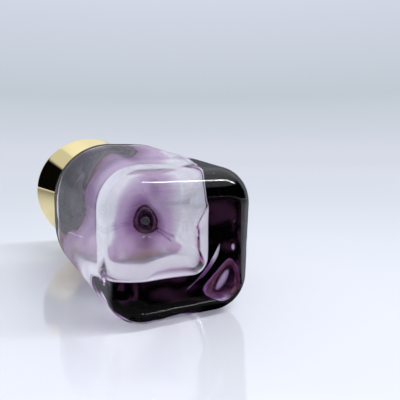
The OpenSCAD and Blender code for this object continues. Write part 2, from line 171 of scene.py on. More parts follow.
def number(name, text, value, low=0.0, high=1.0):
    return FloatProperty(name=name, description=text, default=value, min=low, max=high)


def colour(name, text, rgb):
    return FloatVectorProperty(name=name, description=text, default=rgb, min=0, max=1, size=3, subtype="COLOR")


class BottleGlassSizes(bpy.types.PropertyGroup):
    base_w: length("Base width", "Width across the flats at the base", 34)
    shoulder_w: length("Shoulder width", "Width across the flats where the shoulder starts", 40.8)
    flare_h: length("Flare height", "Height at which the shoulder starts", 47.6)
    dome_h: length("Shoulder rise", "Height of the domed shoulder", 19.8)
    land_d: length("Land width", "Width of the flat land on top of the shoulder", 17)
    base_corner_r: length("Base corner", "Radius of the four upright corners at the base", 7.6)
    shoulder_corner_r: length("Shoulder corner", "Radius of the four upright corners at the shoulder", 16)
    base_edge_r: length("Base edge", "Radius of the edge round the bottom", 6.8)
    floor_t: length("Base thickness", "Thickness of the solid glass base in its middle", 15)
    cavity_floor_w: length("Cavity floor", "Width of the cavity at its floor", 20.4)
    cavity_corner_r: length("Cavity corner", "Radius of the cavity's corners at its floor", 4)
    bowl_h: length("Bowl", "Rise of the cavity's floor from its middle to its edge", 3)
    bowl_power: number("Bowl flatness", "Power of the bowl's curve: more is flatter in the middle", 2.0, 1.5, 8)
    floor_edge_r: length("Cavity edge", "Radius of the edge round the cavity's floor", 1)
    wall_t: length("Wall", "Thickness of the wall at the shoulder", 3.4)
    corner_wall_t: length("Corner wall", "Thickness of the wall at the shoulder's rounded corners", 2.4)
    roof_t: length("Roof", "Thickness of glass over the cavity, below the land", 3)
    neck_d: length("Neck", "Diameter of the neck below its bead", 13.2)
    bead_d: length("Bead", "Diameter of the crimping bead", 15)
    bead_h: length("Bead height", "Height of the crimping bead", 3)
    neck_h: length("Neck height", "Height of the neck above the land", 5.6)
    bore_d: length("Bore", "Diameter of the bore through the neck", 10.2)
    outer_wave: length("Outer waviness", "How far the outside departs from true", 0.03)
    inner_wave: length("Inner waviness", "How far the cavity departs from true", 0.12)


class BottlePumpSizes(bpy.types.PropertyGroup):
    gasket_t: length("Gasket", "Thickness of the neck gasket", 0.8)
    pump_d: length("Housing", "Outer diameter of the pump's housing", 8.2)
    cylinder_d: length("Cylinder", "Inner diameter of the pump's cylinder", 6.2)
    pump_len: length("Housing length", "Length of the housing below its flange", 16)
    flange_t: length("Flange", "Thickness of the housing's flange", 0.9)
    tail_d: length("Tail", "Outer diameter of the tail that holds the dip tube", 4.4)
    dip_grip: length("Tube grip", "Length of the dip tube held in the tail", 7)
    stroke: length("Stroke", "Travel of the pump", 3.4)
    stem_d: length("Stem", "Outer diameter of the stem", 3.2)
    stem_bore_d: length("Stem channel", "Diameter of the channel through the stem", 1.2)
    piston_len: length("Piston", "Length of the piston", 4.4)
    spring_wire: length("Spring wire", "Wire of the return spring", 0.5)
    spring_d: length("Spring", "Middle diameter of the return spring", 4.6)
    spring_turns: IntProperty(name="Spring turns", description="Turns of the return spring", default=7, min=3, max=12)
    ball_d: length("Ball", "Diameter of the inlet ball", 2)
    ball_lift: length("Ball lift", "Lift of the inlet ball off its seat", 0.6)
    dip_d: length("Dip tube", "Outer diameter of the dip tube", 1.6)
    dip_wall: length("Dip tube wall", "Wall of the dip tube", 0.3)
    dip_gap: length("Dip tube gap", "Gap between the dip tube's end and the cavity's floor", 1.6)


class BottleTopSizes(bpy.types.PropertyGroup):
    ferrule_t: length("Ferrule", "Thickness of the crimped ferrule", 0.4)
    collar_d: length("Collar", "Outer diameter of the collar", 20)
    collar_h: length("Collar height", "Height of the collar above the land", 10)
    collar_t: length("Collar shell", "Thickness of the collar's metal shell", 0.5)
    button_d: length("Button", "Diameter of the plastic button", 13)
    button_h: length("Button height", "Height of the button", 7)
    shell_t: length("Button shell", "Thickness of the button's metal shell", 0.35)
    cap_mouth_d: length("Cap mouth", "Diameter of the cap's open end", 27.2)
    cap_rim_d: length("Cap rim", "Diameter of the cap's widest rim", 40.8)
    cap_gap: length("Cap gap", "Gap between the land and the cap's open end", 1.4)
    cap_flank_h: length("Cap flank", "Length of the flared flank", 20.8)
    cap_round_r: length("Cap rounding", "Radius of the rounded rim", 2.2)
    cap_dome_rise: length("Crown rise", "Rise of the crown's middle above its edge", 2.4)
    cap_wall: length("Cap wall", "Thickness of the cap's metal shell", 1)


class BottleGaps(bpy.types.PropertyGroup):
    running: length("Running", "Running clearance round the stem and the piston", 0.04)
    seat: length("Seat", "Gap between pieces that are fitted together", 0.05)
    grip: length("Grip", "Gap between the collar and the cap's insert", 0.12)
    moving: length("Moving", "Gap between pieces that move past each other", 0.2)


class BottleFinish(bpy.types.PropertyGroup):
    glass_tint: colour("Film", "Colour left by one pass through the film of colour", (0.62, 0.45, 0.64))
    deep_tint: colour("Deep film", "Colour left by one pass where the film is twice as thick", (0.20, 0.07, 0.22))
    film_low: length("Film starts", "Height at which the film of colour starts", 48)
    film_high: length("Film full", "Height from which the film of colour is full", 60)
    top_film: number("Top film", "How much more film there is round the neck", 0.9, high=2)
    corner_film: number("Corner film", "Film along the rounded corners", 0.9, high=2)
    corner_low: length("Corner film starts", "Height at which the film on the corners starts", 34)
    base_film: number("Base film", "Share of the film on the sides of the heavy base", 1.0, high=2)
    base_film_side: number("Base film, weak side", "Share of the base's film on its weaker side", 0.35)
    base_film_foot: length("Base film starts", "Height at which the film on the heavy base starts", 15)
    base_film_top: length("Base film ends", "Height at which the film on the heavy base has faded", 24)
    mass_tint: colour("Glass tint", "Colour that is left after a long way through the glass", (0.70, 0.62, 0.74))
    mass_density: number("Glass tint depth", "How fast the glass takes colour, per metre", 20.0, high=400)
    gloss: number("Gloss", "Most that the glass's outside throws back", 0.13)
    gold: colour("Gold", "Polished gold-coloured metal", (0.98, 0.83, 0.42))
    alloy: colour("Alloy", "Bare satin alloy", (0.80, 0.80, 0.78))
    plastic: colour("Plastic", "Natural translucent plastic", (0.86, 0.87, 0.88))
    smoke: colour("Housing plastic", "Dark grey plastic of the pump's housing", (0.12, 0.11, 0.125))
    rubber: colour("Rubber", "Dark gasket rubber", (0.03, 0.03, 0.034))
    steel: colour("Steel", "Drawn steel", (0.62, 0.63, 0.65))


class BottleStage(bpy.types.PropertyGroup):
    floor_near: colour("Floor", "Colour of the floor near the bottle", (0.87, 0.90, 0.985))
    floor_ior: number("Floor gloss", "Refractive index of the floor's sheen", 1.9, 1, 3)
    sky_low: colour("Backdrop low", "Backdrop at the horizon", (0.680, 0.708, 0.799))
    sky_mid: colour("Backdrop middle", "Backdrop a little above the horizon", (0.539, 0.597, 0.658))
    sky_high: colour("Backdrop high", "Backdrop well above the horizon", (0.651, 0.694, 0.799))
    ceiling: colour("Ceiling", "Bright ceiling that gloss and glass see", (0.95, 0.97, 1.0))
    room: number("Room", "Brightness of the unlit part of the room", 0.002)
    # The settings from here to the folds paint a dark reflection with plum folds into the floor, seen only in gloss
    # and through glass
    painted_dark_from: number("Room from", "Where the dark room starts on the floor", -0.009, -1, 1)
    painted_dark_side: number("Room side", "Distance to the right from which the dark room draws back", 0.02)
    painted_dark_turn: number("Room turn", "Slope at which the dark room draws back", 0.7, high=4)
    painted_fold_tint: colour("Room tint", "Colour of the lighter folds in the dark room behind the view", (0.55, 0.19, 0.49))
    painted_fold_scale: number("Folds", "Folds per metre in the dark room", 60.0, 1, 400)
    # spot and the two sizes below set the painted glow on the floor under the base, seen through the glass
    spot: number("Gathered light", "Share of the gathered light under the base", 0.85)
    painted_glow_wide: length("Gathered light half width", "Half its width", 24)
    painted_glow_long: length("Gathered light half length", "Half its length", 14)
    lamp: number("Lamp", "Radiance of the strip lamp", 42.0, high=200)
    lamp_x: number("Lamp right", "Way to the right for each metre up", 0.5, -4, 4)
    lamp_y: number("Lamp ahead", "Way ahead for each metre up", -0.48, -4, 4)
    lamp_h: number("Lamp height", "Height of the lamp", 1.7, 0.1, 4)
    lamp_slant: number("Lamp slant", "Slope of the strip in plan", -0.18, -4, 4)
    lamp_long: number("Lamp length", "Length of the strip", 2.0, 0.01, 4)
    lamp_wide: number("Lamp width", "Width of the strip", 0.08, 0.001, 1)
    fill: number("Fill", "Brightness of the even light from all round", 0.75, high=3)


GROUPS = {
    "bottle_glass": BottleGlassSizes,
    "bottle_pump": BottlePumpSizes,
    "bottle_top": BottleTopSizes,
    "bottle_gaps": BottleGaps,
    "bottle_finish": BottleFinish,
    "bottle_stage": BottleStage,
}


class Heights:
    """Heights and radii that follow from the sizes, in metres up the bottle's axis."""

    def __init__(self, scene):
        g, p, t, c = scene.bottle_glass, scene.bottle_pump, scene.bottle_top, scene.bottle_gaps
        self.land = g.flare_h + g.dome_h
        self.mouth = self.land + g.neck_h
        self.bead_low = self.mouth - g.bead_h
        self.cavity_top = self.land - g.roof_t
        self.bowl_slope = math.atan(g.bowl_power * g.bowl_h / (g.cavity_floor_w / 2 - 0.3 * g.floor_edge_r))
        self.cavity_edge = g.floor_t + g.bowl_h - g.floor_edge_r * (1 - math.cos(self.bowl_slope))
        self.gasket_top = self.mouth + p.gasket_t
        self.flange_top = self.gasket_top + p.flange_t
        self.flange_r = g.bead_d / 2 - 0.7 * MM
        self.ferrule_top = self.flange_top + t.ferrule_t
        self.guide_top = self.ferrule_top + 1.6 * MM
        self.guide_lip = 0.8 * MM
        self.guide_low = self.guide_top - self.guide_lip - 3 * MM
        self.seal_low = self.guide_low - c.seat - 0.6 * MM
        self.cylinder_floor = self.flange_top - p.pump_len
        self.cage_lip = 0.4 * MM
        self.cage_lip_r = p.ball_d / 2 - 0.2 * MM
        self.cage_r = p.ball_d / 2 + 0.25 * MM
        self.channel_r = p.dip_d / 2 - p.dip_wall
        slope = 0.75
        rise = math.sqrt((p.ball_d / 2) ** 2 - self.cage_lip_r ** 2)
        self.ball = self.cylinder_floor - self.cage_lip - c.seat - p.ball_lift - rise
        apex = self.ball - c.seat - p.ball_d / 2 * math.sqrt(1 + 1 / slope ** 2)
        self.seat_low = apex + self.channel_r / slope
        self.seat_high = apex + self.cage_r / slope
        self.socket_top = self.seat_low - 0.4 * MM
        self.tail = self.socket_top - p.dip_grip
        self.dip_low = g.floor_t + p.dip_gap
        self.piston_top = self.seal_low - c.seat
        self.piston_low = self.piston_top - p.piston_len
        self.piston_r = p.cylinder_d / 2 - c.running
        self.socket = 2.6 * MM
        self.spring_foot = self.cylinder_floor + c.seat + p.spring_wire / 2
        self.spring_head = self.piston_low - c.seat - p.spring_wire / 2
        self.button_low = self.ferrule_top + p.stroke + c.moving
        self.button_top = self.button_low + t.button_h
        self.button_roof = self.button_top - 4.6 * MM
        self.stem_top = self.button_roof + 2.4 * MM
        self.shell_r = t.button_d / 2 + t.shell_t + c.seat
        self.ferrule_in = g.bead_d / 2 + c.seat
        self.ferrule_r = self.ferrule_in + t.ferrule_t
        self.collar_low = self.land + c.seat
        self.collar_top = self.land + t.collar_h
        self.collar_mouth = self.shell_r + c.moving
        self.cap_low = self.land + t.cap_gap
        self.rim = self.cap_low + t.cap_flank_h
        mouth_r = t.cap_mouth_d / 2
        self.round_x = t.cap_rim_d / 2 - t.cap_round_r
        run = math.hypot(self.round_x - mouth_r, t.cap_flank_h)
        self.lean = math.pi / 2 - math.atan2(t.cap_flank_h, self.round_x - mouth_r) + math.asin(t.cap_round_r / run)
        self.crown_a = math.pi / 2 - math.atan(2 * t.cap_dome_rise / self.round_x)

    def flank(self, t, z, wall):
        """Radius of the cap's straight flank, or of a line that lies inside it by the wall."""
        return t.cap_mouth_d / 2 + (z - self.cap_low) * math.tan(self.lean) - wall / math.cos(self.lean)


# ---------------------------------------------------------------- finishes

class Nodes:
    """Makes and joins the nodes of one tree. Each input is a plain value or another node's output."""

    def __init__(self, tree):
        self.tree = tree
        tree.nodes.clear()

    def add(self, kind, inputs=None, **settings):
        made = self.tree.nodes.new("ShaderNode" + kind)
        for key, value in settings.items():
            setattr(made, key, value)
        for key, value in (inputs or {}).items():
            if isinstance(value, bpy.types.NodeSocket):
                self.tree.links.new(value, made.inputs[key])
            else:
                made.inputs[key].default_value = value
        return made

    def math(self, operation, *values, clamp=False):
        return self.add("Math", dict(enumerate(values)), operation=operation, use_clamp=clamp).outputs[0]

    def vector(self, operation, *values):
        return self.add("VectorMath", dict(enumerate(values)), operation=operation).outputs

    def step(self, value, low, high, most=1.0):
        """Smooth step from 0 at low to most at high."""
        inputs = {"Value": value, "From Min": low, "From Max": high, "To Max": most}
        return self.add("MapRange", inputs, interpolation_type="SMOOTHSTEP").outputs["Result"]

    def spread(self, value, low, high):
        """The middle of a noise's range, spread between two values."""
        inputs = {"Value": value, "From Min": 0.3, "From Max": 0.7, "To Min": low, "To Max": high}
        return self.add("MapRange", inputs).outputs["Result"]

    def mix(self, share, a, b, blend_type="MIX"):
        return self.add("Mix", {0: share, 6: a, 7: b}, data_type="RGBA", blend_type=blend_type).outputs[2]

    def blend(self, share, a, b):
        return self.add("MixShader", {0: share, 1: a, 2: b}).outputs[0]

    def ramp(self, value, stops):
        """Colours at positions from 0 to 1; the first and last stop already exist in a new ramp."""
        made = self.add("ValToRGB", {0: value})
        marks = made.color_ramp.elements
        for k, (position, rgb) in enumerate((stops[0], stops[-1])):
            marks[k].position, marks[k].color = position, (*rgb, 1)
        for position, rgb in stops[1:-1]:
            marks.new(position).color = (*rgb, 1)
        return made.outputs[0]

    def where(self):
        return self.add("TexCoord").outputs["Object"]

    def noise(self, scale, detail=3.0, rough=0.5, distortion=0.0):
        """Noise over the piece's own coordinates, in repeats per metre."""
        inputs = {"Vector": self.where(), "Scale": scale, "Detail": detail, "Roughness": rough,
                  "Distortion": distortion}
        return self.add("TexNoise", inputs).outputs["Fac"]

    def bump(self, height, strength, distance):
        return self.add("Bump", {"Height": height, "Strength": strength, "Distance": distance}).outputs["Normal"]

    def surface(self, shader, volume=None):
        out = self.add("OutputMaterial", {"Surface": shader})
        if volume:
            self.tree.links.new(volume, out.inputs["Volume"])


def new_material(name):
    """A material and its empty tree."""
    m = bpy.data.materials.new(name)
    m.use_nodes = True
    return m, Nodes(m.node_tree)


def tinted_glass(name, f):
    """Clear glass with a film of colour on its outside: the film's share is the mesh's own value, coat, and the ramp
    gives its colour at none, one and two thicknesses. From outside the film colours only what passes through, and
    the outside throws back no more than f.gloss. From inside it colours what is thrown back as well."""
    m, t = new_material(name)
    coat = t.add("Attribute", attribute_name="coat").outputs["Fac"]
    film = t.ramp(t.math("MULTIPLY", coat, 0.5), ((0.0, (1, 1, 1)), (0.5, f.glass_tint), (1.0, f.deep_tint)))
    twice = t.mix(1.0, film, film, "MULTIPLY")
    passed = t.add("BsdfRefraction", {"Color": film, "Roughness": 0.0, "IOR": GLASS_IOR}).outputs[0]
    gloss = t.add("BsdfAnisotropic", {"Color": (1, 1, 1, 1), "Roughness": 0.08}).outputs[0]
    thrown = t.add("BsdfAnisotropic", {"Color": twice, "Roughness": 0.0}).outputs[0]
    share = t.add("Fresnel", {"IOR": GLASS_IOR}).outputs[0]
    outer = t.blend(t.math("MINIMUM", share, f.gloss), passed, gloss)
    inner = t.blend(share, passed, thrown)
    tint = t.add("VolumeAbsorption", {"Color": (*f.mass_tint, 1), "Density": f.mass_density}).outputs[0]
    t.surface(t.blend(t.add("NewGeometry").outputs["Backfacing"], outer, inner), tint)
    return m


def metal(name, rgb, low, high, scale, bump=0.0):
    """Metal whose gloss varies faintly from place to place."""
    m, t = new_material(name)
    grain = t.noise(scale, 4.0)
    inputs = {"Base Color": (*rgb, 1), "Metallic": 1.0, "Roughness": t.spread(grain, low, high)}
    if bump:
        inputs["Normal"] = t.bump(grain, 0.1, bump)
    t.surface(t.add("BsdfPrincipled", inputs).outputs[0])
    return m


def moulded(name, rgb, rough, subsurface=0.0):
    """Moulded plastic or rubber with a fine even grain."""
    m, t = new_material(name)
    grain = t.noise(2500.0)
    t.surface(t.add("BsdfPrincipled", {
        "Base Color": (*rgb, 1), "IOR": 1.5, "Subsurface Weight": subsurface, "Subsurface Scale": 0.0008,
        "Roughness": t.spread(grain, rough * 0.85, rough * 1.15), "Normal": t.bump(grain, 0.15, 0.00002),
    }).outputs[0])
    return m


def clear_plastic(name):
    """Clear tubing with a faint haze that drifts along it. Its low index leaves it hard to see through the glass."""
    m, t = new_material(name)
    t.surface(t.add("BsdfPrincipled", {
        "Base Color": (0.96, 0.965, 0.97, 1), "IOR": 1.015, "Transmission Weight": 1.0,
        "Roughness": t.spread(t.noise(300.0), 0.0, 0.08),
    }).outputs[0])
    return m


def finish(kind):
    """The named finish, made once."""
    f = bpy.context.scene.bottle_finish
    name = "bottle_" + kind
    makers = {
        "glass": lambda: tinted_glass(name, f),
        "gold": lambda: metal(name, f.gold, 0.02, 0.05, 900.0),
        "alloy": lambda: metal(name, f.alloy, 0.22, 0.34, 1600.0, 0.00001),
        "steel": lambda: metal(name, f.steel, 0.12, 0.25, 3000.0),
        "rubber": lambda: moulded(name, f.rubber, 0.6),
        "clear": lambda: clear_plastic(name),
        "smoke": lambda: moulded(name, f.smoke, 0.35),
        "plastic": lambda: moulded(name, f.plastic, 0.35, 0.3),
    }
    return bpy.data.materials.get(name) or makers[kind]()


def dress(node_name, kind):
    """Gives a carried-over solid its finish."""
    slots = frame["nodes"][node_name].data.materials
    slots.clear()
    slots.append(finish(kind))


def settle(piece, body, nodes):
    """Rides the piece on its body, and lets it stand for its solids."""
    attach(piece, body)
    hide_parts(*nodes)


# ---------------------------------------------------------------- glass

def square_ring(half, corner, side_steps=22, corner_steps=26):
    """Rounded squares, one for each pair of half width and corner radius: straight sides and quarter-circle corners.
    Gives x and y, one row for each square."""
    half = np.asarray(half, float)[:, None]
    corner = np.minimum(np.asarray(corner, float)[:, None], half * 0.9999)
    arc = np.linspace(0, math.pi / 2, corner_steps, endpoint=False)
    side = np.linspace(0, 1, side_steps, endpoint=False)
    inner = half - corner
    xs, ys = [], []
    for q in range(4):
        ca, sa = math.cos(q * math.pi / 2), math.sin(q * math.pi / 2)
        x = np.hstack([inner + corner * np.cos(arc), inner - 2 * inner * side])
        y = np.hstack([inner + corner * np.sin(arc), half + 0 * side])
        xs.append(ca * x - sa * y)
        ys.append(sa * x + ca * y)
    return np.hstack(xs), np.hstack(ys)


# Waviness: share, waves once round, turn for each mm up, and start
WAVES_OUT = ((1.0, 2, 0.21, 0.0), (0.7, 5, -0.33, 1.0), (0.5, 3, 0.55, 2.0))
WAVES_IN = ((1.0, 3, 0.30, 0.4), (0.6, 7, -0.45, 2.1), (0.4, 11, 0.8, 0.9))
# Corner radius over half width at which a rounded square is taken as round
ROUND = 0.97
# Distances over which the films come in and fade
FILM_RISE, FILM_FALL, CORNER_RISE = 6 * MM, 7 * MM, 4 * MM
# Sines of twice the direction round, between which the corners' film comes in
CORNER_SPAN = (0.85, 0.97)


def waves(rows, a, up):
    """Sum of slow sines over the direction round, a, and the height in mm, between -1 and 1."""
    total = sum(share * np.sin(n * a + turn * up + start) for share, n, turn, start in rows)
    return total / sum(row[0] for row in rows)


def ease(a, b, x):
    """Smooth step from 0 at a to 1 at b."""
    t = np.clip((x - a) / (b - a), 0, 1)
    return t * t * (3 - 2 * t)


def glass_rows(g, h):
    """Height, half width and corner radius of each ring, from the middle of the base over the outside,
    through the mouth and down the cavity to the middle of its floor."""
    slope = (g.shoulder_w - g.base_w) / 2 / g.flare_h
    half_at = lambda z: g.base_w / 2 + slope * z
    corner_at = lambda z: g.base_corner_r + (g.shoulder_corner_r - g.base_corner_r) * z / g.flare_h
    parts = []

    def add(z, half, corner):
        parts.append(np.stack(np.broadcast_arrays(z, half, corner), -1).reshape(-1, 3).astype(float))

    def foot(z0, half, r, edge, count, start=0.0):
        """Round from a flat or sloping face up to a wall."""
        a = np.linspace(start, math.pi / 2, count)
        inset = edge * (1 - np.sin(a))
        return z0 + edge * (1 - np.cos(a)), half - inset, np.maximum(r - inset, 0.4 * MM)

    def dome(z0, rise, wide, narrow, corner, a):
        """Quarter ellipse that closes in from a wide ring to a narrow one, its corners growing round."""
        half = narrow + (wide - narrow) * np.cos(a)
        share = corner / wide + (ROUND - corner / wide) * np.sin(a)
        return z0 + rise * np.sin(a), half, half * share

    e = g.base_edge_r
    z, half, corner = foot(0, half_at(e), corner_at(e), e, 20)
    s = np.linspace(0.03, 0.97, 22)
    add(0 * s, half[0] * s, corner[0] * s)
    add(z, half, corner)
    t = np.linspace(0, 1, 60)[1:]
    z = e + (g.flare_h - e) * t
    add(z, half_at(z), corner_at(z))
    a = np.linspace(0, math.pi / 2, 56)[1:]
    add(*dome(g.flare_h, g.dome_h, g.shoulder_w / 2, g.land_d / 2, g.shoulder_corner_r, a))
    neck_r, bead_r, bore_r = g.neck_d / 2, g.bead_d / 2, g.bore_d / 2
    outline = soften([
        (neck_r + 1.2 * MM, h.land), (neck_r + 0.1 * MM, h.land + 0.3 * MM), (neck_r, h.bead_low),
        (bead_r, h.bead_low), (bead_r, h.mouth), (bore_r, h.mouth), (bore_r, h.cavity_top),
    ], np.array([0.4, 0.5, 0.4, 0.6, 0.7, 0.5, 0.1]) * MM, 6, closed=False)
    add(outline[:, 1], outline[:, 0], outline[:, 0] * 0.9999)
    wide = g.shoulder_w / 2 - g.wall_t
    reach = (g.shoulder_w / 2 - g.shoulder_corner_r) * math.sqrt(2) + g.shoulder_corner_r - g.corner_wall_t
    wide_r = (wide * math.sqrt(2) - reach) / (math.sqrt(2) - 1)
    narrow = bore_r - 1 * MM
    last = math.acos((bore_r + 0.15 * MM - narrow) / (wide - narrow))
    a = np.linspace(last, 0, 50)
    inside_from = sum(len(p) for p in parts)
    add(*dome(g.flare_h, h.cavity_top - g.flare_h, wide, narrow, wide_r, a))
    f = g.floor_edge_r
    floor_half = g.cavity_floor_w / 2
    t = np.linspace(1, 0, 40)[1:]
    z0 = h.cavity_edge + f
    add(z0 + (g.flare_h - z0) * t, floor_half + (wide - floor_half) * t,
        g.cavity_corner_r + (wide_r - g.cavity_corner_r) * t)
    z, half, corner = foot(h.cavity_edge, floor_half, g.cavity_corner_r, f, 12, h.bowl_slope)
    add(z[::-1][1:], half[::-1][1:], corner[::-1][1:])
    # a bowl, a power of the way out, that meets the edge's round at its own slope
    k = np.linspace(0.97, 0.02, 36)
    round_share = ROUND - (ROUND - corner[0] / half[0]) * k
    add(g.floor_t + g.bowl_h * k ** g.bowl_power, half[0] * k, half[0] * k * round_share)
    return np.vstack(parts), inside_from


class BOTTLE_OT_glass(bpy.types.Operator):
    """Builds the glass as one closed skin, outside and cavity, with a faint waviness"""
    bl_idname = "bottle.glass"
    bl_label = "Glass"

    def execute(self, context):
        g = context.scene.bottle_glass
        h = Heights(context.scene)
        rows, inside_from = glass_rows(g, h)
        x, y = square_ring(rows[:, 1], rows[:, 2])
        z = np.broadcast_to(rows[:, 0:1], x.shape).copy()
        inside = (np.arange(len(rows)) >= inside_from)[:, None]
        # waviness along the outward direction, which fades out at the foot, the land, the neck and the axis
        a = np.arctan2(y, x)
        out = np.hypot(x, y) + 1e-9
        fade_out = 1 - ease(h.land - 6 * MM, h.land - 2 * MM, z)
        fade_out *= ease(0, 8 * MM, z) * ease(2 * MM, 9 * MM, out)
        fade_in = 1 - ease(h.cavity_top - 8 * MM, h.cavity_top - 2 * MM, z)
        fade_in *= ease(2 * MM, 8 * MM, out)
        shift = np.where(inside, g.inner_wave * waves(WAVES_IN, a, z / MM) * fade_in,
                         g.outer_wave * waves(WAVES_OUT, a, z / MM) * fade_out)
        x = x * (1 + shift / out)
        y = y * (1 + shift / out)
        pts = place(np.stack([x, y, z], -1))
        poles = [place(np.array([0, 0, 0.0])), place(np.array([0, 0, g.floor_t]))]
        piece = skin("bottle_glass", pts, finish("glass"), poles, sharp=180)
        # the film: on the sides of the heavy base, over the dome and deeper towards the neck, and along the corners
        f = context.scene.bottle_finish
        low = f.base_film * ease(f.base_film_foot, f.base_film_foot + FILM_RISE, z)
        low *= 1 - ease(f.base_film_top - FILM_FALL, f.base_film_top, z)
        low *= f.base_film_side + (1 - f.base_film_side) * ease(-0.5, 0.5, np.cos(a))
        top = ease(f.film_low, f.film_high, z) + f.top_film * ease(f.film_high, h.land, z)
        corner = ease(f.corner_low, f.corner_low + CORNER_RISE, z) * ease(*CORNER_SPAN, np.abs(np.sin(2 * a)))
        film = np.where(inside, 0.0, np.maximum(top + low, f.corner_film * corner)).ravel()
        coat = piece.data.attributes.new("coat", "FLOAT", "POINT")
        coat.data.foreach_set("value", np.append(film, [0.0, 0.0]).astype(np.float32))
        settle(piece, "bottle", ["glass_bottle"])
        return {"FINISHED"}


# ---------------------------------------------------------------- pump

class BOTTLE_OT_pump(bpy.types.Operator):
    """Builds the crimped pump: housing, guide, seals, stem, piston, ball and dip tube"""
    bl_idname = "bottle.pump"
    bl_label = "Pump"

    def execute(self, context):
        sc = context.scene
        g, p, t, c, h = sc.bottle_glass, sc.bottle_pump, sc.bottle_top, sc.bottle_gaps, Heights(sc)
        plastic, rubber = finish("plastic"), finish("rubber")

        def turned(name, outline, material, body, node_name, r=0.12, segments=96):
            piece = lathe(name, soften(outline, r * MM, 4), material, segments)
            settle(piece, body, [node_name])
            return piece

        turned("gasket", [(p.pump_d / 2 + c.seat, h.mouth), (h.flange_r, h.mouth), (h.flange_r, h.gasket_top),
                          (p.pump_d / 2 + c.seat, h.gasket_top)], rubber, "bottle", "neck_gasket")
        tr, pr = p.tail_d / 2, p.pump_d / 2
        dr = p.dip_d / 2 + c.seat
        turned("housing", [
            (dr, h.tail), (tr - 0.3 * MM, h.tail), (tr, h.tail + 0.3 * MM), (tr, h.cylinder_floor - 1.6 * MM),
            (pr - 0.6 * MM, h.cylinder_floor - 0.6 * MM), (pr - 0.6 * MM, h.gasket_top - 5 * MM),
            (pr, h.gasket_top - 4.4 * MM), (pr, h.gasket_top), (h.flange_r, h.gasket_top),
            (h.flange_r, h.flange_top), (pr, h.flange_top), (pr, h.guide_top - h.guide_lip),
            (p.cylinder_d / 2, h.guide_top - h.guide_lip), (p.cylinder_d / 2, h.cylinder_floor),
            (h.cage_lip_r, h.cylinder_floor), (h.cage_lip_r, h.cylinder_floor - h.cage_lip),
            (h.cage_r, h.cylinder_floor - h.cage_lip), (h.cage_r, h.seat_high), (h.channel_r, h.seat_low),
            (h.channel_r, h.socket_top), (dr, h.socket_top),
        ], finish("smoke"), "bottle", "pump_housing", 0.15)
        hole = p.stem_d / 2 + c.running
        plug = p.cylinder_d / 2 - c.seat
        lip = h.guide_top - h.guide_lip + c.seat
        turned("guide", [(hole, h.guide_low), (plug, h.guide_low), (plug, lip), (pr, lip), (pr, h.guide_top),
                         (hole, h.guide_top)], plastic, "bottle", "stem_guide")
        turned("seal", [(hole, h.seal_low), (plug, h.seal_low), (plug, h.seal_low + 0.6 * MM),
                        (hole, h.seal_low + 0.6 * MM)], rubber, "bottle", "stem_seal")
        top = h.socket_top - c.seat
        ri, ro = p.dip_d / 2 - p.dip_wall, p.dip_d / 2
        turned("dip", [(ri, h.dip_low), (ro, h.dip_low), (ro, top), (ri, top)], finish("clear"), "bottle",
               "dip_tube", 0.06, 48)
        r = h.piston_r
        sr = p.stem_d / 2 + c.running / 2
        br = p.stem_bore_d / 2
        turned("piston", [
            (br, h.piston_low), (r, h.piston_low), (r, h.piston_low + 1 * MM),
            (r - 0.5 * MM, h.piston_low + 1.5 * MM), (r - 0.5 * MM, h.piston_top - 1.5 * MM),
            (r, h.piston_top - 1 * MM), (r, h.piston_top), (sr, h.piston_top),
            (sr, h.piston_top - h.socket), (br, h.piston_top - h.socket),
        ], plastic, "spray_button", "pump_piston")
        foot = h.piston_top - h.socket + c.seat
        top = h.stem_top - c.seat
        turned("stem", [(br, foot), (p.stem_d / 2, foot), (p.stem_d / 2, top), (br, top)], plastic,
               "spray_button", "pump_stem")
        # ball: circle profile turned about the axis
        a = np.linspace(-math.pi / 2, math.pi / 2, 25)
        ball = lathe("ball", np.stack([p.ball_d / 2 * np.cos(a), h.ball + p.ball_d / 2 * np.sin(a)], -1),
                     finish("steel"), 48, open_ends=True)
        settle(ball, "inlet_valve", ["valve_ball"])
        return {"FINISHED"}


class BOTTLE_OT_spring(bpy.types.Operator):
    """Builds the return spring as a round wire carried along a helix"""
    bl_idname = "bottle.spring"
    bl_label = "Return spring"

    def execute(self, context):
        sc = context.scene
        p, h = sc.bottle_pump, Heights(sc)
        # helix (R cos a, R sin a, z) with a tube of radius w round it: out = w cos b outwards, w sin b across
        turns, R, w = p.spring_turns, p.spring_d / 2, p.spring_wire / 2
        steps, sides = turns * 48, 16
        s = np.linspace(0, 1, steps)[:, None]
        a = TAU * turns * s
        b = TAU * np.arange(sides)[None, :] / sides
        # the coils rise evenly from the foot to the head
        z = h.spring_foot + (h.spring_head - h.spring_foot) * s
        pitch = math.atan((h.spring_head - h.spring_foot) / turns / (TAU * R))
        out = w * np.cos(b)
        up = w * np.sin(b) * math.cos(pitch)
        back = -w * np.sin(b) * math.sin(pitch)
        rows = np.stack([(R + out) * np.cos(a) - back * np.sin(a), (R + out) * np.sin(a) + back * np.cos(a),
                         z + up + 0 * a], -1)
        ends = [np.array([R, 0, h.spring_foot]), np.array([R, 0, h.spring_head])]
        piece = skin("return_spring", place(rows), finish("steel"), [place(e) for e in ends], sharp=60)
        settle(piece, "bottle", ["pump_spring"])
        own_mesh(piece)
        return {"FINISHED"}


# ---------------------------------------------------------------- metalwork and button

